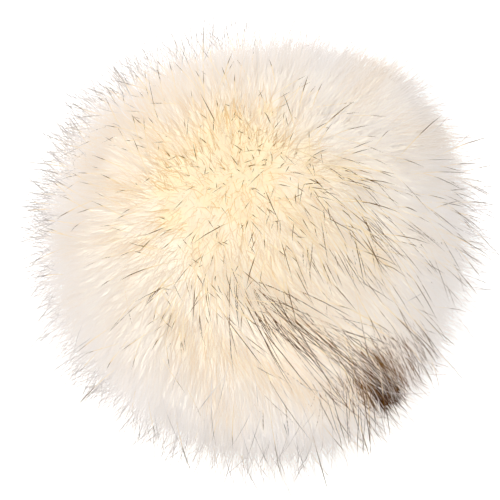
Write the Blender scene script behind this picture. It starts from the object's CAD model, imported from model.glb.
import math

import bmesh
import bpy
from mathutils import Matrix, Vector, noise


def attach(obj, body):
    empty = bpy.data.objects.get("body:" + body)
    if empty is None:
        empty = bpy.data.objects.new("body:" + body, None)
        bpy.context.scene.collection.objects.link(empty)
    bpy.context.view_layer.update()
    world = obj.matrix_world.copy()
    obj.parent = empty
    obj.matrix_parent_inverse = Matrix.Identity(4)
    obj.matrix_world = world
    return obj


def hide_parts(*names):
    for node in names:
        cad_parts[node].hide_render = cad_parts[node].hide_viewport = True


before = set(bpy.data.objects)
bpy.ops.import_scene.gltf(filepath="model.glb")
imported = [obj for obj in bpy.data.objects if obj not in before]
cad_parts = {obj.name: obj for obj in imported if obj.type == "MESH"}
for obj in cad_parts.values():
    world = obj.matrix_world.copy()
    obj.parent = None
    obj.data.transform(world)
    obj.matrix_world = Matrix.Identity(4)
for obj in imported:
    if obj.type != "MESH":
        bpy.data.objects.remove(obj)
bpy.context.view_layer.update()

# Sizes are in metres. The fur rests on z = 0.
ballCentre = Vector((0.0, 0.0, 0.058))


def table(names, rows):
    return [dict(zip(names, row)) for row in rows]


def unitVector(azimuth, elevation):
    turn, rise = math.radians(azimuth), math.radians(elevation)
    flat = math.cos(rise)
    return Vector((math.cos(turn) * flat, math.sin(turn) * flat, math.sin(rise)))


def bump(direction, spot):
    angle = direction.angle(unitVector(spot["azimuth"], spot["elevation"]))
    return math.exp(-0.5 * (angle / math.radians(spot["spread"])) ** 2)


def total(direction, spots, column):
    return sum(spot[column] * bump(direction, spot) for spot in spots)


# The woolly skin that everything grows from: a lumpy ball.
skin = {
    "radius": 0.0568,
    "subdivisions": 6,
    "lumpHeight": 0.0028,
    "lumpSize": 0.016,
    "finerLumps": 2.1,  # times as fine as the large ones
    "finerHeight": 0.5,  # times as high
    "finerShift": Vector((3.0, 1.0, 7.0)),
}

# Fuller and thinner places, as a share of the ball's radius. Places are in degrees round and
# up the ball in all the tables, and a spread is how wide the place is.
lobes = table(("azimuth", "elevation", "spread", "reach"), (
    (35, 30, 20, 0.120),
    (50, 38, 14, 0.035),
    (158, 21, 20, -0.005),
    (-140, -30, 14, -0.040),
    (-150, -16, 18, -0.010),
    (-62, 8, 20, 0.030),
    (-168, -10, 14, -0.030),
    (-120, -22, 20, -0.045),
    (-22, -21, 18, -0.055),
    (70, -10, 24, -0.025),
    (95, 15, 26, -0.050),
    (0, 90, 24, -0.020),
))


def lumpAt(direction):
    place = direction * skin["radius"] / skin["lumpSize"]
    finer = noise.noise(place * skin["finerLumps"] + skin["finerShift"])
    return noise.noise(place) + skin["finerHeight"] * finer


# Partings where one mass of fur lies over the next, from one direction to another.
partings = table(("azimuth", "elevation", "toAzimuth", "toElevation", "wide", "deep"), (
    (-116, 22, -99, -10, 4.5, 0.0024),
    (-104, 19, -64, -4, 5.5, 0.0028),
    (20, 62, 48, 38, 6.0, 0.0016),
    (4, 48, 20, 22, 6.0, 0.0014),
    (150, 60, 176, 34, 7.0, 0.0016),
))


def partingDepth(direction):
    depth = 0.0
    for parting in partings:
        start = unitVector(parting["azimuth"], parting["elevation"])
        run = unitVector(parting["toAzimuth"], parting["toElevation"]) - start
        share = max(0.0, min(1.0, (direction - start).dot(run) / run.length_squared))
        angle = direction.angle(start + run * share)
        depth += parting["deep"] * math.exp(-((angle / math.radians(parting["wide"])) ** 2))
    return depth


# How fur meets the ground.
ground = {
    "feel": 0.008,  # fur lower than this lies down
    "gap": 0.0004,  # but never lower than this
    "splayHeight": 0.014,  # fur lower than this is pushed outwards
    "splay": 0.14,  # by up to this share
}
layRoom = ground["feel"] - ground["gap"]


def pressedHeight(height):
    if height >= ground["feel"]:
        return height
    return ground["gap"] + layRoom * math.exp((height - ground["feel"]) / layRoom)


# How the coat lies: it falls away from the crown, and is pushed aside in places.
fall = Vector((0.17, 0.24, -0.95))
pushes = table(("azimuth", "elevation", "spread", "x", "y", "z"), (
    (-58, 52, 20, 0.00, -0.55, -0.55),
    (-95, 27, 20, 0.35, 0.00, 0.00),
    (-82, 22, 12, 0.95, -0.15, 0.00),
    (-55, 12, 9, -0.35, -0.10, -0.20),
    (-12, 30, 18, 0.10, -0.20, -0.20),
    (170, 22, 26, -0.30, 0.00, 0.30),
))
# Under the ball's middle the fur is held off the ground and hardly falls: from the height
# "heldUpTo" it comes free over "freeWithin", both as a share of the ball's radius.
hold = {"heldUpTo": -0.75, "freeWithin": 0.90, "leastFall": 0.15}


def combAt(direction):
    lift = max(0.0, min(1.0, (direction.z - hold["heldUpTo"]) / hold["freeWithin"]))
    freed = lift * lift * (3 - 2 * lift)  # even at both ends
    falling = hold["leastFall"] + (1.0 - hold["leastFall"]) * freed
    comb = fall * falling + Vector([total(direction, pushes, axis) for axis in "xyz"])
    return comb - direction * comb.dot(direction)


# Where the down is warmer in colour than it is all over. The first place is the crown.
warmPatches = table(("azimuth", "elevation", "spread", "warm"), (
    (-118, 66, 18, 0.60),
    (-102, 77, 3.0, 0.60),
    (-90, 68, 2.6, 0.50),
    (-142, 80, 3.0, 0.40),
    (-138, 72, 2.6, 0.40),
    (-102, 61, 3.0, 0.30),
    (-66, 74, 2.6, 0.35),
    (125, 15, 30, 0.26),
    (60, -20, 16, 0.10),
    (-85, 48, 28, 0.35),
    (-150, 30, 28, 0.12),
    (-95, 20, 22, 0.08),
    (-80, 24, 7, 0.20),
    (-62, 9, 7, 0.30),
    (-40, 60, 3.0, 0.35),
    (-50, 38, 3.5, 0.40),
    (100, -30, 45, 0.24),
))
crownPatch = warmPatches[0]
warmTone = {
    "plain": 0.015,
    "uneven": 0.14,
    "fineness": 6.0,
    "shift": Vector((9.0, 1.0, 3.0)),
    "inPartings": 150.0,  # for each metre that a parting is deep
    "yellowRoots": 2.2,  # the most that shows between the locks of the crown
    "rootsFineness": 11.0,
    "rootsShift": Vector((2.0, 8.0, 4.0)),
}


def warmthAt(direction):
    # The crown's down parts in places and shows its yellow roots.
    roots = max(0.0, noise.noise(direction * warmTone["rootsFineness"] + warmTone["rootsShift"]))
    uneven = noise.noise(direction * warmTone["fineness"] + warmTone["shift"])
    warmth = warmTone["plain"] + total(direction, warmPatches, "warm")
    warmth += warmTone["uneven"] * uneven
    warmth += warmTone["yellowRoots"] * bump(direction, crownPatch) * roots
    warmth += warmTone["inPartings"] * partingDepth(direction)
    return max(0.0, min(1.0, warmth))


# Pale fur is thinner by this share here, so that it doesn't lie over the dark hair.
clearings = table(("azimuth", "elevation", "spread", "share"), (
    (-64, 17, 6.5, 0.85),
    (-77, 28, 4.5, 0.60),
    (-88, 32, 4.5, 0.45),
    (-58, 48, 11, 0.15),
    (-58, 5, 4.0, 0.95),
))
leastDown = 0.05  # the share of the pale fur that is left where it is thinnest
crownThinning = 0.60  # the share of the long down that is missing at the crown


def downShareAt(direction):
    return max(leastDown, 1.0 - total(direction, clearings, "share"))


def longShareAt(direction):
    return max(leastDown, downShareAt(direction) - crownThinning * bump(direction, crownPatch))


# Where long dark-tipped hair stands: its share of the full number, and how brown it is.
hairPatches = table(("azimuth", "elevation", "spread", "share", "brown"), (
    (-112, 66, 18, 0.10, 0.30),
    (-108, 40, 6, 0.30, 0.30),
    (-46, 68, 6, 0.50, 0.20),
    (-66, 60, 9, 0.95, 0.30),
    (-54, 48, 9, 1.10, 0.30),
    (-40, 44, 8, 0.45, 0.10),
    (-12, 35, 10, 1.05, -0.20),
    (-3, 26, 5, 0.60, -0.20),
    (-116, 33, 5, 0.50, 0.30),
    (-100, 36, 5, 0.40, 0.30),
    (-44, 16, 12, 0.36, 0.00),
    (-78, 10, 12, 0.20, 0.20),
    (-72, 26, 8, 0.35, 0.20),
    (10, 10, 20, 0.05, -0.40),
    (158, 42, 5, 0.70, -0.10),
    (170, 26, 6, 0.70, -0.10),
    (115, 5, 36, 0.22, -0.10),
    (30, 44, 20, -0.45, -0.20),
    (75, 45, 18, -0.20, -0.20),
))
hairSpread = {"plain": 0.01, "uneven": 0.08, "fineness": 5.0, "patches": hairPatches}
plainBrown = 0.85

# Where short dark-tipped hair stands, of which little more than the tips shows.
speckPatches = table(("azimuth", "elevation", "spread", "share"), (
    (-112, 66, 18, 1.70),
    (-66, 58, 12, 1.50),
    (-114, 33, 7, 2.40),
    (115, 10, 36, 0.60),
    (28, 45, 26, -0.70),
))
speckSpread = {"plain": 0.04, "uneven": 0.25, "fineness": 9.0, "patches": speckPatches}
spreadShift = Vector((5.0, 2.0, 1.0))  # shifts the noise that makes both uneven


def spreadAt(direction, spread):
    uneven = spread["uneven"] * noise.noise(direction * spread["fineness"] + spreadShift)
    return max(0.0, spread["plain"] + uneven + total(direction, spread["patches"], "share"))


def hairShareAt(direction):
    return spreadAt(direction, hairSpread)


def speckShareAt(direction):
    return spreadAt(direction, speckSpread)


def hairBrownAt(direction):
    return plainBrown + total(direction, hairPatches, "brown")


# Where long dark-tipped hair stands out from the coat.
edgePatches = table(("azimuth", "elevation", "spread", "share"), (
    (174, 12, 12, 0.70),
    (158, 28, 12, 0.65),
    (140, 40, 10, 0.55),
    (118, 48, 10, 0.40),
    (-166, -10, 12, 0.50),
    (-148, -26, 12, 0.55),
    (-122, -36, 12, 0.14),
    (-85, -38, 14, 0.03),
    (0, 0, 16, 0.12),
    (-58, 8, 6, 0.30),
    (-78, -3, 10, 0.20),
))


def edgeShareAt(direction):
    return min(1.0, total(direction, edgePatches, "share"))


# The dark marking: a band of long brown hair, and the thick tuft that it ends in.
marking = table(("azimuth", "elevation", "spread", "share"), (
    (-99, 37, 3.0, 0.35),
    (-91, 34, 2.6, 0.80),
    (-84, 31, 2.6, 0.80),
    (-77, 27, 2.4, 0.85),
    (-71, 22, 2.4, 0.50),
    (-65, 16, 2.4, 0.35),
    (-60, 9, 2.8, 0.35),
    (-79, 5, 9.0, 0.03),
))
tuft = table(("azimuth", "elevation", "spread", "share"), (
    (-59, 7, 1.5, 3.20),
    (-61, 12, 2.0, 0.20),
    (-53, 8, 3.5, 0.14),
    (-47, 9, 4.0, 0.06),
    (-66, 5, 4.0, 0.07),
))


def markingAt(direction):
    return total(direction, marking, "share")


def tuftAt(direction):
    return total(direction, tuft, "share")


# What the skin tells the fur that grows from it, and the way that it is combed.
skinRules = {
    "downShare": downShareAt,
    "longShare": longShareAt,
    "hairShare": hairShareAt,
    "speckShare": speckShareAt,
    "hairBrown": hairBrownAt,
    "edgeShare": edgeShareAt,
    "marking": markingAt,
    "tuft": tuftAt,
    "warmth": warmthAt,
}
combColumn = "comb"


def paintSkin(mesh):
    directions = [(vert.co - ballCentre).normalized() for vert in mesh.vertices]
    for name, rule in skinRules.items():
        column = mesh.attributes.new(name, "FLOAT", "POINT")
        column.data.foreach_set("value", [rule(direction) for direction in directions])
    comb = mesh.attributes.new(combColumn, "FLOAT_VECTOR", "POINT")
    comb.data.foreach_set("vector", [part for one in directions for part in combAt(one)])


def makeSkin():
    bm = bmesh.new()
    bmesh.ops.create_icosphere(bm, subdivisions=skin["subdivisions"], radius=1.0)
    for vert in bm.verts:
        direction = vert.co.normalized()
        reach = skin["radius"] * (1.0 + total(direction, lobes, "reach"))
        reach += skin["lumpHeight"] * lumpAt(direction) - partingDepth(direction)
        vert.co = ballCentre + direction * reach
        vert.co.z = pressedHeight(vert.co.z)
    mesh = bpy.data.meshes.new("furSkin")
    bm.to_mesh(mesh)
    bm.free()
    mesh.shade_smooth()
    paintSkin(mesh)
    return mesh


def newMaterial(name):
    material = bpy.data.materials.new(name)
    material.use_nodes = True
    material.node_tree.nodes.clear()
    return material, material.node_tree


def addNode(tree, kind, **values):
    node = tree.nodes.new(kind)
    for name, value in values.items():
        setattr(node, name, value)
    return node


def feed(tree, socket, value):
    if isinstance(value, bpy.types.NodeSocket):
        tree.links.new(value, socket)
    else:
        socket.default_value = value


def calc(tree, operation, *values):
    node = addNode(tree, "ShaderNodeMath", operation=operation)
    for socket, value in zip(node.inputs, values):
        feed(tree, socket, value)
    return node.outputs[0]


def vectorCalc(tree, operation, *values):
    node = addNode(tree, "ShaderNodeVectorMath", operation=operation)
    sockets = (node.inputs[0], node.inputs["Scale"]) if operation == "SCALE" else node.inputs
    for socket, value in zip(sockets, values):
        feed(tree, socket, value)
    return node.outputs["Value" if operation == "DOT_PRODUCT" else "Vector"]


def addUp(tree, *vectors):
    sumSoFar = vectors[0]
    for one in vectors[1:]:
        sumSoFar = vectorCalc(tree, "ADD", sumSoFar, one)
    return sumSoFar


def split(tree, vector):
    node = tree.nodes.new("ShaderNodeSeparateXYZ")
    tree.links.new(vector, node.inputs[0])
    return node.outputs["X"], node.outputs["Y"], node.outputs["Z"]


def join(tree, x, y, z):
    node = tree.nodes.new("ShaderNodeCombineXYZ")
    for socket, value in zip(node.inputs, (x, y, z)):
        feed(tree, socket, value)
    return node.outputs[0]


def opaque(colour):
    return (*colour, 1.0)


def ramp(tree, factor, stops):
    node = tree.nodes.new("ShaderNodeValToRGB")
    feed(tree, node.inputs["Fac"], factor)
    elements = node.color_ramp.elements
    while len(elements) > 1:
        elements.remove(elements[-1])
    firstPlace, firstColour = stops[0]
    elements[0].position = firstPlace
    elements[0].color = opaque(firstColour)
    for place, colour in stops[1:]:
        elements.new(place).color = opaque(colour)
    return node.outputs["Color"]


# A mix node has several sockets of one name, so those for colours are counted.
colourA, colourB, colourResult = 6, 7, 2


def mixColour(tree, factor, first, second):
    node = addNode(tree, "ShaderNodeMix", data_type="RGBA")
    feed(tree, node.inputs["Factor"], factor)
    feed(tree, node.inputs[colourA], first)
    feed(tree, node.inputs[colourB], second)
    return node.outputs[colourResult]


def surfaceOut(tree, shader):
    out = tree.nodes.new("ShaderNodeOutputMaterial")
    tree.links.new(shader.outputs[0], out.inputs["Surface"])


# Each look has two ramps from a strand's root to its tip: one for plain hair, and one for hair
# that is fully marked or warm.
woolLook = {
    "plain": (
        (0.00, (0.940, 0.885, 0.840)),
        (1.00, (0.940, 0.890, 0.860)),
    ),
    "marked": (
        (0.00, (0.900, 0.580, 0.240)),
        (1.00, (0.895, 0.666, 0.382)),
    ),
    "roughness": 0.85,
    "shine": 0.0,
    "seeThrough": 0.2,
}
downLook = dict(woolLook, plain=(
    (0.00, (0.940, 0.885, 0.845)),
    (0.50, (0.940, 0.893, 0.870)),
    (1.00, (0.945, 0.935, 0.945)),
), marked=(
    (0.00, (0.900, 0.638, 0.318)),
    (0.60, (0.895, 0.695, 0.441)),
    (1.00, (0.895, 0.768, 0.613)),
))
wispLook = dict(woolLook, plain=(
    (0.00, (0.940, 0.890, 0.860)),
    (0.50, (0.940, 0.910, 0.895)),
    (1.00, (0.925, 0.910, 0.915)),
))
hairLook = {
    "plain": (
        (0.00, (0.945, 0.865, 0.790)),
        (0.60, (0.930, 0.840, 0.760)),
        (0.67, (0.170, 0.085, 0.024)),
        (1.00, (0.120, 0.057, 0.014)),
    ),
    "marked": (
        (0.00, (0.960, 0.830, 0.630)),
        (0.54, (0.920, 0.720, 0.420)),
        (0.63, (0.150, 0.068, 0.004)),
        (1.00, (0.090, 0.038, 0.002)),
    ),
    "roughness": 0.6,
    "shine": 0.0,
    "seeThrough": 0.05,
}
speckLook = dict(hairLook, plain=(
    (0.00, (0.945, 0.865, 0.790)),
    (0.76, (0.930, 0.840, 0.760)),
    (0.83, (0.190, 0.105, 0.040)),
    (1.00, (0.135, 0.070, 0.024)),
), marked=(
    (0.00, (0.960, 0.830, 0.630)),
    (0.73, (0.920, 0.720, 0.420)),
    (0.80, (0.170, 0.078, 0.005)),
    (1.00, (0.110, 0.047, 0.002)),
))
edgeLook = dict(hairLook, plain=(
    (0.00, (0.945, 0.885, 0.840)),
    (0.45, (0.940, 0.890, 0.870)),
    (0.62, (0.480, 0.430, 0.410)),
    (1.00, (0.370, 0.330, 0.320)),
), marked=(
    (0.00, (0.900, 0.760, 0.600)),
    (0.30, (0.660, 0.490, 0.370)),
    (0.60, (0.340, 0.220, 0.160)),
    (1.00, (0.300, 0.210, 0.170)),
))
markingLook = dict(hairLook, marked=(
    (0.00, (0.800, 0.620, 0.420)),
    (0.30, (0.500, 0.300, 0.140)),
    (0.42, (0.110, 0.045, 0.008)),
    (0.70, (0.070, 0.027, 0.006)),
    (1.00, (0.060, 0.023, 0.008)),
))
tuftLook = dict(hairLook, plain=(
    (0.00, (0.600, 0.420, 0.280)),
    (0.30, (0.270, 0.150, 0.075)),
    (1.00, (0.190, 0.100, 0.045)),
), marked=(
    (0.00, (0.050, 0.018, 0.006)),
    (0.80, (0.038, 0.013, 0.005)),
    (1.00, (0.060, 0.022, 0.009)),
))


def strandMaterial(name, look):
    material, tree = newMaterial(name)
    tone, along, _ = split(tree, addNode(tree, "ShaderNodeUVMap", uv_map="OFBake").outputs["UV"])
    plain, marked = ramp(tree, along, look["plain"]), ramp(tree, along, look["marked"])
    colour = mixColour(tree, tone, plain, marked)
    shader = tree.nodes.new("ShaderNodeBsdfPrincipled")
    feed(tree, shader.inputs["Base Color"], colour)
    shader.inputs["Roughness"].default_value = look["roughness"]
    shader.inputs["Specular IOR Level"].default_value = look["shine"]
    through = tree.nodes.new("ShaderNodeBsdfTranslucent")
    feed(tree, through.inputs["Color"], colour)
    both = tree.nodes.new("ShaderNodeMixShader")
    both.inputs["Fac"].default_value = look["seeThrough"]
    tree.links.new(shader.outputs[0], both.inputs[1])
    tree.links.new(through.outputs[0], both.inputs[2])
    surfaceOut(tree, both)
    return material


skinLook = {
    "plain": (0.930, 0.865, 0.780),
    "warm": (0.980, 0.760, 0.420),
    "brown": (0.050, 0.020, 0.008),
    "mostBrown": 0.97,
    "brownUnderMarking": 0.30,
    "streak": (0.950, 0.900, 0.800),
    "streakShare": 0.5,
    "streaksRound": 42.0,  # how fine the streaks are, round the crown
    "streaksDown": 5.0,  # and along their way from it
    "streakDetail": 3.0,
    "roughness": 0.9,
}


def attribute(tree, name):
    return addNode(tree, "ShaderNodeAttribute", attribute_name=name).outputs["Fac"]


def streaks(tree):
    # The streaks run down from the crown: fine round it, and long away from it.
    place = tree.nodes.new("ShaderNodeTexCoord").outputs["Object"]
    ray = vectorCalc(tree, "NORMALIZE", vectorCalc(tree, "SUBTRACT", place, ballCentre))
    crown = -fall.normalized()
    away = calc(tree, "ARCCOSINE", vectorCalc(tree, "DOT_PRODUCT", ray, crown))
    along = vectorCalc(tree, "SCALE", vectorCalc(tree, "PROJECT", ray, crown), -1.0)
    around = vectorCalc(tree, "NORMALIZE", vectorCalc(tree, "ADD", ray, along))
    spread = vectorCalc(tree, "SCALE", around, skinLook["streaksRound"])
    reach = calc(tree, "MULTIPLY", away, skinLook["streaksDown"])
    length = vectorCalc(tree, "SCALE", tuple(crown), reach)
    waves = tree.nodes.new("ShaderNodeTexNoise")
    tree.links.new(vectorCalc(tree, "ADD", spread, length), waves.inputs["Vector"])
    waves.inputs["Scale"].default_value = 1.0
    waves.inputs["Detail"].default_value = skinLook["streakDetail"]
    return waves.outputs["Fac"]


def skinMaterial():
    material, tree = newMaterial("woollySkin")
    warmth = attribute(tree, "warmth")
    base = mixColour(tree, warmth, opaque(skinLook["plain"]), opaque(skinLook["warm"]))
    share = calc(tree, "MULTIPLY", streaks(tree), skinLook["streakShare"])
    streaked = mixColour(tree, share, base, opaque(skinLook["streak"]))
    underBand = calc(tree, "MULTIPLY", attribute(tree, "marking"), skinLook["brownUnderMarking"])
    brown = calc(tree, "ADD", underBand, attribute(tree, "tuft"))
    brown = calc(tree, "MINIMUM", brown, skinLook["mostBrown"])
    colour = mixColour(tree, brown, streaked, opaque(skinLook["brown"]))
    shader = tree.nodes.new("ShaderNodeBsdfPrincipled")
    feed(tree, shader.inputs["Base Color"], colour)
    shader.inputs["Roughness"].default_value = skinLook["roughness"]
    surfaceOut(tree, shader)
    return material


furInputs = (
    ("Strands", "NodeSocketFloat"),  # for each square metre
    ("Share", "NodeSocketString"),  # the attribute that thins them out
    ("Seed", "NodeSocketInt"),
    ("Rings", "NodeSocketInt"),
    ("Length", "NodeSocketFloat"),
    ("Uneven", "NodeSocketFloat"),  # the share by which the length varies
    ("Width", "NodeSocketFloat"),
    ("Width Spread", "NodeSocketFloat"),
    ("Flatness", "NodeSocketFloat"),  # how thick a strand is for its width
    ("Taper", "NodeSocketFloat"),  # higher keeps the strand wide for longer
    ("Root Width", "NodeSocketFloat"),
    ("Depth", "NodeSocketFloat"),  # of the roots under the skin
    ("Lean", "NodeSocketFloat"),  # how far the strand leans over from its root
    ("Sag", "NodeSocketFloat"),  # how far it bends over along its way
    ("Droop", "NodeSocketFloat"),  # how far its tip comes back to the skin
    ("Stray", "NodeSocketFloat"),
    ("Frizz", "NodeSocketFloat"),
    ("Frizz Size", "NodeSocketFloat"),
    ("Clumps", "NodeSocketFloat"),  # for each square metre
    ("Clumping", "NodeSocketFloat"),
    ("Tone Map", "NodeSocketString"),  # the attribute that the tone is read from
    ("Tone", "NodeSocketFloat"),  # times this
    ("Tone Spread", "NodeSocketFloat"),
    ("Centre", "NodeSocketVector"),
    ("Material", "NodeSocketMaterial"),
)
# Each of a strand's chances draws from its own seed, so far past the seed of its piece.
seedSteps = {"stray": 1.0, "length": 2.0, "tone": 3.0, "width": 4.0, "clumps": 71.0}
strand = {
    "sides": 3,
    "swelling": 3.0,  # it is at its full width after one part in this many of its length
    "leastLeft": 0.001,  # the share of its length that the taper still counts at the tip
    "rodShading": 0.04,  # how much of its own roundness shows in its shading
}
# A strand's chart: its tone runs across it and its length up it, inside a margin. One side is
# a hair's breadth further across than the other, so that no face of the chart is empty.
chart = {"margin": 0.01, "across": 0.004, "slant": 0.3}


def seedFor(tree, given, chance):
    return calc(tree, "ADD", given["Seed"], seedSteps[chance])


def randomVector(tree, given, chance, size):
    node = addNode(tree, "FunctionNodeRandomValue", data_type="FLOAT_VECTOR")
    node.inputs["Min"].default_value = (-1.0, -1.0, -1.0)
    node.inputs["Max"].default_value = (1.0, 1.0, 1.0)
    feed(tree, node.inputs["Seed"], seedFor(tree, given, chance))
    return vectorCalc(tree, "SCALE", node.outputs["Value"], size)


# A random node has several sockets of one name, so those for single numbers are counted.
numberMin, numberMax, numberResult = 2, 3, 1


def randomStep(tree, given, chance):
    node = addNode(tree, "FunctionNodeRandomValue", data_type="FLOAT")
    node.inputs[numberMin].default_value = -1.0
    node.inputs[numberMax].default_value = 1.0
    feed(tree, node.inputs["Seed"], seedFor(tree, given, chance))
    return node.outputs[numberResult]


def variedBy(tree, given, chance, share):
    return calc(tree, "MULTIPLY_ADD", randomStep(tree, given, chance), share, 1.0)


def named(tree, name, kind):
    node = addNode(tree, "GeometryNodeInputNamedAttribute", data_type=kind)
    feed(tree, node.inputs["Name"], name)
    return node.outputs["Attribute"]


def position(tree):
    return tree.nodes.new("GeometryNodeInputPosition").outputs[0]


def moved(tree, geometry, place, socket="Position"):
    node = tree.nodes.new("GeometryNodeSetPosition")
    tree.links.new(geometry, node.inputs["Geometry"])
    tree.links.new(place, node.inputs[socket])
    return node.outputs["Geometry"]


def capture(tree, geometry, fields):
    node = tree.nodes.new("GeometryNodeCaptureAttribute")
    tree.links.new(geometry, node.inputs["Geometry"])
    for name, (kind, field) in fields.items():
        node.capture_items.new(kind, name)
        tree.links.new(field, node.inputs[name])
    return node.outputs["Geometry"], {name: node.outputs[name] for name in fields}


def scatter(tree, surface, density, seed):
    node = addNode(tree, "GeometryNodeDistributePointsOnFaces", distribute_method="RANDOM")
    tree.links.new(surface, node.inputs["Mesh"])
    feed(tree, node.inputs["Density"], density)
    feed(tree, node.inputs["Seed"], seed)
    return node.outputs["Points"], node.outputs["Normal"]


def nearestClump(tree, given, root):
    clumps, _ = scatter(tree, given["Skin"], given["Clumps"], seedFor(tree, given, "clumps"))
    nearest = tree.nodes.new("GeometryNodeSampleNearest")
    tree.links.new(clumps, nearest.inputs["Geometry"])
    feed(tree, nearest.inputs["Sample Position"], root)
    pick = addNode(tree, "GeometryNodeSampleIndex", data_type="FLOAT_VECTOR")
    tree.links.new(clumps, pick.inputs["Geometry"])
    feed(tree, pick.inputs["Value"], position(tree))
    tree.links.new(nearest.outputs["Index"], pick.inputs["Index"])
    return vectorCalc(tree, "SUBTRACT", pick.outputs["Value"], root)


def strandTone(tree, given):
    tone = calc(tree, "MULTIPLY", named(tree, given["Tone Map"], "FLOAT"), given["Tone"])
    step = randomStep(tree, given, "tone")
    tone = calc(tree, "MULTIPLY_ADD", step, given["Tone Spread"], tone)
    tone = calc(tree, "MAXIMUM", tone, chart["margin"])
    return calc(tree, "MINIMUM", tone, 1.0 - chart["margin"])


def plantRoots(tree, given):
    density = calc(tree, "MULTIPLY", given["Strands"], named(tree, given["Share"], "FLOAT"))
    points, normal = scatter(tree, given["Skin"], density, given["Seed"])
    here = position(tree)
    outward = vectorCalc(tree, "NORMALIZE", vectorCalc(tree, "SUBTRACT", here, given["Centre"]))
    sunk = vectorCalc(tree, "SCALE", outward, given["Depth"])
    standing = vectorCalc(tree, "NORMALIZE", addUp(tree, normal, outward))
    comb = named(tree, combColumn, "FLOAT_VECTOR")
    leaning = vectorCalc(tree, "SCALE", comb, given["Lean"])
    stray = randomVector(tree, given, "stray", given["Stray"])
    direction = vectorCalc(tree, "NORMALIZE", addUp(tree, standing, leaning, stray))
    over = vectorCalc(tree, "SCALE", comb, given["Sag"])
    back = vectorCalc(tree, "SCALE", standing, calc(tree, "MULTIPLY", given["Droop"], -1.0))
    length = variedBy(tree, given, "length", given["Uneven"])
    width = variedBy(tree, given, "width", given["Width Spread"])
    halfWidth = calc(tree, "MULTIPLY", given["Width"], 0.5)
    points, kept = capture(tree, points, {
        "root": ("VECTOR", vectorCalc(tree, "SUBTRACT", here, sunk)),
        "direction": ("VECTOR", direction),
        "standing": ("VECTOR", standing),
        "bend": ("VECTOR", addUp(tree, over, back)),
        "toClump": ("VECTOR", nearestClump(tree, given, here)),
        "length": ("FLOAT", calc(tree, "MULTIPLY", given["Length"], length)),
        "width": ("FLOAT", calc(tree, "MULTIPLY", halfWidth, width)),
        "tone": ("FLOAT", strandTone(tree, given)),
    })
    return moved(tree, points, kept["root"]), kept


def strandShape(tree, given):
    cone = addNode(tree, "GeometryNodeMeshCone", fill_type="NGON")
    cone.inputs["Vertices"].default_value = strand["sides"]
    feed(tree, cone.inputs["Side Segments"], given["Rings"])
    cone.inputs["Radius Top"].default_value = 0.0
    cone.inputs["Radius Bottom"].default_value = 1.0
    cone.inputs["Depth"].default_value = 1.0
    x, y, z = split(tree, position(tree))
    side = calc(tree, "MULTIPLY_ADD", y, chart["slant"], x)
    fields = {"along": ("FLOAT", z), "side": ("FLOAT", side)}
    geometry, kept = capture(tree, cone.outputs["Mesh"], fields)
    along = kept["along"]
    # A cone narrows evenly; hair stays wide and then narrows towards its tip.
    left = calc(tree, "MAXIMUM", calc(tree, "SUBTRACT", 1.0, along), strand["leastLeft"])
    wide = calc(tree, "SUBTRACT", 1.0, calc(tree, "POWER", along, given["Taper"]))
    rise = calc(tree, "MINIMUM", calc(tree, "MULTIPLY", along, strand["swelling"]), 1.0)
    missing = calc(tree, "SUBTRACT", 1.0, given["Root Width"])
    swell = calc(tree, "MULTIPLY_ADD", rise, missing, given["Root Width"])
    factor = calc(tree, "MULTIPLY", calc(tree, "DIVIDE", wide, left), swell)
    shaped = vectorCalc(tree, "MULTIPLY", position(tree), join(tree, factor, factor, 1.0))
    return moved(tree, geometry, shaped), kept


def standStrands(tree, given, roots, kept):
    one, shape = strandShape(tree, given)
    # Each strand stands along its direction, with one flat side turned outwards.
    upright = addNode(tree, "FunctionNodeAlignRotationToVector", axis="Z")
    tree.links.new(kept["direction"], upright.inputs["Vector"])
    turn = addNode(tree, "FunctionNodeAlignRotationToVector", axis="X", pivot_axis="Z")
    tree.links.new(upright.outputs[0], turn.inputs["Rotation"])
    tree.links.new(vectorCalc(tree, "SCALE", kept["standing"], -1.0), turn.inputs["Vector"])
    thick = calc(tree, "MULTIPLY", kept["width"], given["Flatness"])
    instances = tree.nodes.new("GeometryNodeInstanceOnPoints")
    tree.links.new(roots, instances.inputs["Points"])
    tree.links.new(one, instances.inputs["Instance"])
    tree.links.new(turn.outputs[0], instances.inputs["Rotation"])
    tree.links.new(join(tree, thick, kept["width"], kept["length"]), instances.inputs["Scale"])
    real = tree.nodes.new("GeometryNodeRealizeInstances")
    tree.links.new(instances.outputs[0], real.inputs[0])
    return real.outputs[0], shape


def bendStrands(tree, given, fur, kept, along):
    # The strands are bent once they are real: over by their sag, into clumps, and by frizz.
    square = calc(tree, "MULTIPLY", along, along)
    sag = calc(tree, "MULTIPLY", kept["length"], square)
    sagging = vectorCalc(tree, "SCALE", kept["bend"], sag)
    pull = calc(tree, "MULTIPLY", given["Clumping"], square)
    gathered = vectorCalc(tree, "SCALE", kept["toClump"], pull)
    waves = addNode(tree, "ShaderNodeTexNoise", noise_dimensions="4D")
    finer = calc(tree, "DIVIDE", 1.0, given["Frizz Size"])
    feed(tree, waves.inputs["Vector"], vectorCalc(tree, "SCALE", kept["root"], finer))
    feed(tree, waves.inputs["W"], along)
    waves.inputs["Scale"].default_value = 1.0
    waves.inputs["Detail"].default_value = 1.0
    noiseMiddle = (0.5, 0.5, 0.5)
    centred = vectorCalc(tree, "SUBTRACT", waves.outputs["Color"], noiseMiddle)
    frizzy = vectorCalc(tree, "SCALE", centred, calc(tree, "MULTIPLY", given["Frizz"], along))
    return moved(tree, fur, addUp(tree, sagging, gathered, frizzy), "Offset")


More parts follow.
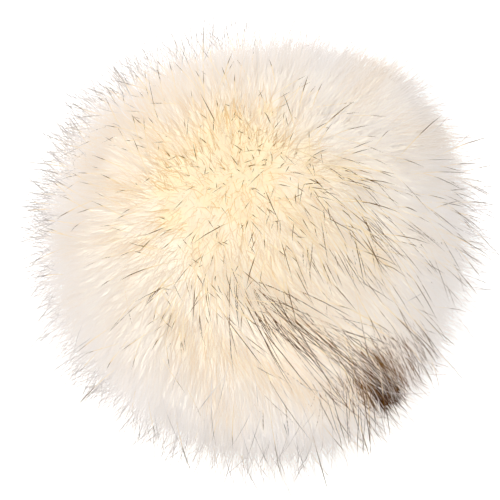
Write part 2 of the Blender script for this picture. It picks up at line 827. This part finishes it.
def layOnGround(tree, fur, along):
    x, y, z = split(tree, position(tree))
    clear = calc(tree, "SUBTRACT", z, ground["feel"])
    pressed = calc(tree, "DIVIDE", calc(tree, "MINIMUM", clear, 0.0), layRoom)
    lying = calc(tree, "MULTIPLY_ADD", calc(tree, "EXPONENT", pressed), layRoom, ground["gap"])
    height = calc(tree, "ADD", lying, calc(tree, "MAXIMUM", clear, 0.0))
    depth = calc(tree, "SUBTRACT", 1.0, calc(tree, "DIVIDE", z, ground["splayHeight"]))
    depth = calc(tree, "MAXIMUM", depth, 0.0)
    outward = calc(tree, "MULTIPLY", calc(tree, "MULTIPLY", depth, depth), along)
    push = calc(tree, "MULTIPLY_ADD", outward, ground["splay"], 1.0)
    pushedX, pushedY = calc(tree, "MULTIPLY", x, push), calc(tree, "MULTIPLY", y, push)
    return moved(tree, fur, join(tree, pushedX, pushedY, height))


def softenShading(tree, fur, kept):
    # Fur scatters light, so a strand is shaded nearly as the ball under it, not as a round rod.
    own = tree.nodes.new("GeometryNodeInputNormal").outputs[0]
    rod = vectorCalc(tree, "SCALE", own, strand["rodShading"])
    soft = vectorCalc(tree, "NORMALIZE", addUp(tree, kept["standing"], rod))
    shaded = addNode(tree, "GeometryNodeSetMeshNormal", mode="FREE", domain="POINT")
    tree.links.new(fur, shaded.inputs["Mesh"])
    tree.links.new(soft, shaded.inputs["Custom Normal"])
    smooth = tree.nodes.new("GeometryNodeSetShadeSmooth")
    tree.links.new(shaded.outputs[0], smooth.inputs["Geometry"])
    return smooth.outputs[0]


def storeChart(tree, fur, kept, shape):
    across = calc(tree, "MULTIPLY_ADD", shape["side"], chart["across"], kept["tone"])
    room = 1.0 - 2 * chart["margin"]
    up = calc(tree, "MULTIPLY_ADD", shape["along"], room, chart["margin"])
    store = addNode(tree, "GeometryNodeStoreNamedAttribute", data_type="FLOAT2", domain="CORNER")
    tree.links.new(fur, store.inputs["Geometry"])
    store.inputs["Name"].default_value = "OFBake"
    tree.links.new(join(tree, across, up, 0.0), store.inputs["Value"])
    return store.outputs[0]


def furTree():
    tree = bpy.data.node_groups.new("growFur", "GeometryNodeTree")
    tree.is_modifier = True
    tree.interface.new_socket("Skin", in_out="INPUT", socket_type="NodeSocketGeometry")
    tree.interface.new_socket("Fur", in_out="OUTPUT", socket_type="NodeSocketGeometry")
    for name, kind in furInputs:
        tree.interface.new_socket(name, in_out="INPUT", socket_type=kind)
    given = tree.nodes.new("NodeGroupInput").outputs
    roots, kept = plantRoots(tree, given)
    fur, shape = standStrands(tree, given, roots, kept)
    fur = bendStrands(tree, given, fur, kept, shape["along"])
    fur = layOnGround(tree, fur, shape["along"])
    fur = storeChart(tree, softenShading(tree, fur, kept), kept, shape)
    finish = tree.nodes.new("GeometryNodeSetMaterial")
    tree.links.new(fur, finish.inputs["Geometry"])
    tree.links.new(given["Material"], finish.inputs["Material"])
    out = tree.nodes.new("NodeGroupOutput")
    tree.links.new(finish.outputs[0], out.inputs["Fur"])
    return tree


def triangleCount(mesh):
    mesh.calc_loop_triangles()
    return len(mesh.loop_triangles)


def growFur(name, skinMesh, tree, settings, material):
    grower = bpy.data.objects.new(name + "Grower", skinMesh)
    bpy.context.scene.collection.objects.link(grower)
    modifier = grower.modifiers.new("grow", "NODES")
    modifier.node_group = tree
    values = dict(settings, Material=material, Centre=ballCentre)
    for item in tree.interface.items_tree:
        if item.in_out == "INPUT" and item.name in values:
            modifier[item.identifier] = values[item.name]
    bpy.context.view_layer.update()
    grown = grower.evaluated_get(bpy.context.evaluated_depsgraph_get())
    mesh = bpy.data.meshes.new_from_object(grown)
    mesh.name = name
    grower.modifiers.remove(modifier)
    bpy.data.objects.remove(grower)
    for spare in (*skinRules, combColumn):
        if spare in mesh.attributes:
            mesh.attributes.remove(mesh.attributes[spare])
    piece = bpy.data.objects.new(name, mesh)
    # Light passes on from hair to hair, so the skin alone holds it back.
    piece.visible_shadow = False
    piece.visible_diffuse = False
    bpy.context.scene.collection.objects.link(piece)
    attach(piece, "root")
    print(name, triangleCount(mesh), "triangles")


shortDown = {
    "Strands": 330000.0,
    "Share": "downShare",
    "Seed": 11,
    "Rings": 2,
    "Length": 0.0088,
    "Uneven": 0.22,
    "Width": 0.00028,
    "Width Spread": 0.20,
    "Flatness": 0.50,
    "Taper": 2.0,
    "Root Width": 1.00,
    "Depth": 0.001,
    "Lean": 0.50,
    "Sag": 0.30,
    "Droop": 0.10,
    "Stray": 0.40,
    "Frizz": 0.003,
    "Frizz Size": 0.006,
    "Clumps": 20000.0,
    "Clumping": 0.20,
    "Tone Map": "warmth",
    "Tone": 1.00,
    "Tone Spread": 0.04,
}
longDown = dict(shortDown, **{
    "Strands": 280000.0,
    "Share": "longShare",
    "Seed": 23,
    "Rings": 3,
    "Length": 0.0165,
    "Uneven": 0.45,
    "Width": 0.00014,
    "Taper": 1.1,
    "Lean": 0.45,
    "Tone": 0.75,
})
wisps = dict(longDown, **{
    "Share": "downShare",
    "Seed": 33,
    "Length": 0.0230,
    "Uneven": 0.25,
    "Width": 0.00010,
    "Taper": 1.8,
    "Root Width": 0.50,
    "Lean": 0.30,
    "Stray": 0.55,
    "Frizz": 0.006,
    "Tone": 0.65,
})
guardHair = dict(shortDown, **{
    "Strands": 116000.0,
    "Share": "hairShare",
    "Seed": 41,
    "Rings": 5,
    "Length": 0.0182,
    "Uneven": 0.50,
    "Width": 0.00021,
    "Width Spread": 0.30,
    "Flatness": 1.00,
    "Taper": 9.0,
    "Root Width": 0.35,
    "Lean": 0.75,
    "Sag": 0.15,
    "Droop": 0.15,
    "Stray": 0.85,
    "Frizz Size": 0.004,
    "Clumping": 0.05,
    "Tone Map": "hairBrown",
    "Tone Spread": 0.30,
})
speckHair = dict(guardHair, **{
    "Strands": 75000.0,
    "Share": "speckShare",
    "Seed": 48,
    "Length": 0.0155,
    "Uneven": 0.25,
    "Width": 0.00024,
    "Lean": 0.60,
    "Stray": 0.90,
})
edgeHair = dict(guardHair, **{
    "Strands": 400000.0,
    "Share": "edgeShare",
    "Seed": 65,
    "Length": 0.0225,
    "Uneven": 0.28,
    "Width": 0.00024,
    "Taper": 2.5,
    "Lean": 0.20,
    "Sag": 0.10,
    "Stray": 0.50,
    "Clumps": 3000.0,
    "Clumping": 0.50,
    "Tone Map": "marking",
    "Tone": 3.00,
    "Tone Spread": 0.15,
})
markingHair = dict(guardHair, **{
    "Strands": 900000.0,
    "Share": "marking",
    "Seed": 57,
    "Length": 0.0172,
    "Width": 0.00020,
    "Lean": 0.85,
    "Sag": 0.25,
    "Stray": 0.72,
    "Clumps": 5000.0,
    "Clumping": 0.10,
    "Tone": 1.20,
})
tuftHair = dict(guardHair, **{
    "Strands": 11000000.0,
    "Share": "tuft",
    "Seed": 58,
    "Length": 0.0100,
    "Uneven": 0.45,
    "Width": 0.00026,
    "Lean": 0.80,
    "Sag": 0.30,
    "Stray": 0.35,
    "Clumps": 4000.0,
    "Clumping": 0.30,
    "Tone Map": "tuft",
    "Tone": 1.60,
    "Tone Spread": 0.10,
})


def secondLayer(settings):
    return dict(settings, Seed=settings["Seed"] + 1)


def addSkin(mesh):
    mesh.materials.append(skinMaterial())
    piece = bpy.data.objects.new("woollySkin", mesh)
    bpy.context.scene.collection.objects.link(piece)
    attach(piece, "root")
    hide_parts("fur_ball")
    print("woollySkin", triangleCount(mesh), "triangles")


def dressBall():
    skinMesh = makeSkin()
    tree = furTree()
    wool = strandMaterial("creamWool", woolLook)
    down = strandMaterial("creamDown", downLook)
    layers = (
        ("shortDownA", shortDown, wool),
        ("shortDownB", secondLayer(shortDown), wool),
        ("longDownA", longDown, down),
        ("longDownB", secondLayer(longDown), down),
        ("wisps", wisps, strandMaterial("paleWisps", wispLook)),
        ("guardHair", guardHair, strandMaterial("darkTippedHair", hairLook)),
        ("speckHair", speckHair, strandMaterial("speckHair", speckLook)),
        ("edgeHair", edgeHair, strandMaterial("greyTippedHair", edgeLook)),
        ("markingHair", markingHair, strandMaterial("brownBand", markingLook)),
        ("tuftHair", tuftHair, strandMaterial("brownTuft", tuftLook)),
    )
    for name, settings, material in layers:
        growFur(name, skinMesh, tree, settings, material)
    addSkin(skinMesh)


dressBall()

studio = {
    "floorSize": 24.0,
    "floorColour": (0.9, 0.9, 0.9, 1.0),
    "floorGlow": 0.54,
    "bright": Vector((-0.43, 0.24, 0.87)),  # towards the key light
    "keyStrength": 3.50,
    "fillStrength": 1.64,
    "softness": 170.0,  # degrees that each light is wide
    "skyColour": (1.0, 1.0, 1.0, 1.0),
    "skyStrength": 0.15,
}
cameraPlace = {
    "elevation": 45.0,
    "lens": 85.0,
    "distance": 0.358,
    "nearest": 0.01,  # nothing closer is seen
    "shiftRight": -0.0021,  # the ball stands a little right of the middle
    "shiftUp": 0.0003,
}


def addFloor():
    bpy.ops.mesh.primitive_plane_add(size=studio["floorSize"])
    floor = bpy.context.object
    floor.name = "floor"
    material, tree = newMaterial("paleFloor")
    diffuse = tree.nodes.new("ShaderNodeBsdfDiffuse")
    diffuse.inputs["Color"].default_value = studio["floorColour"]
    glow = tree.nodes.new("ShaderNodeEmission")
    glow.inputs["Strength"].default_value = studio["floorGlow"]
    both = tree.nodes.new("ShaderNodeAddShader")
    tree.links.new(diffuse.outputs[0], both.inputs[0])
    tree.links.new(glow.outputs[0], both.inputs[1])
    surfaceOut(tree, both)
    floor.data.materials.append(material)


def addSoftLight(name, towards, strength):
    data = bpy.data.lights.new(name, "SUN")
    data.angle = math.radians(studio["softness"])
    data.energy = strength
    data.cycles.use_multiple_importance_sampling = False
    light = bpy.data.objects.new(name, data)
    light.rotation_euler = towards.to_track_quat("Z", "Y").to_euler()
    bpy.context.scene.collection.objects.link(light)


def addLights():
    # Two lights as wide as half the sky: a key light, and a weaker fill from the other side.
    addSoftLight("keyLight", studio["bright"], studio["keyStrength"])
    addSoftLight("fillLight", -studio["bright"], studio["fillStrength"])
    world = bpy.data.worlds.new("studioSky")
    bpy.context.scene.world = world
    world.use_nodes = True
    background = world.node_tree.nodes["Background"]
    background.inputs["Color"].default_value = studio["skyColour"]
    background.inputs["Strength"].default_value = studio["skyStrength"]


def addCamera():
    rise = math.radians(cameraPlace["elevation"])
    back = Vector((0.0, -math.cos(rise), math.sin(rise)))
    up = Vector((0.0, math.sin(rise), math.cos(rise)))
    aim = ballCentre + Vector((cameraPlace["shiftRight"], 0.0, 0.0)) + up * cameraPlace["shiftUp"]
    data = bpy.data.cameras.new("camera")
    data.lens = cameraPlace["lens"]
    data.clip_start = cameraPlace["nearest"]
    camera = bpy.data.objects.new("camera", data)
    camera.location = aim + back * cameraPlace["distance"]
    camera.rotation_euler = back.to_track_quat("Z", "Y").to_euler()
    bpy.context.scene.collection.objects.link(camera)
    bpy.context.scene.camera = camera


addFloor()
addLights()
addCamera()
bpy.context.scene.view_settings.view_transform = "Standard"

print("dressed and lit")
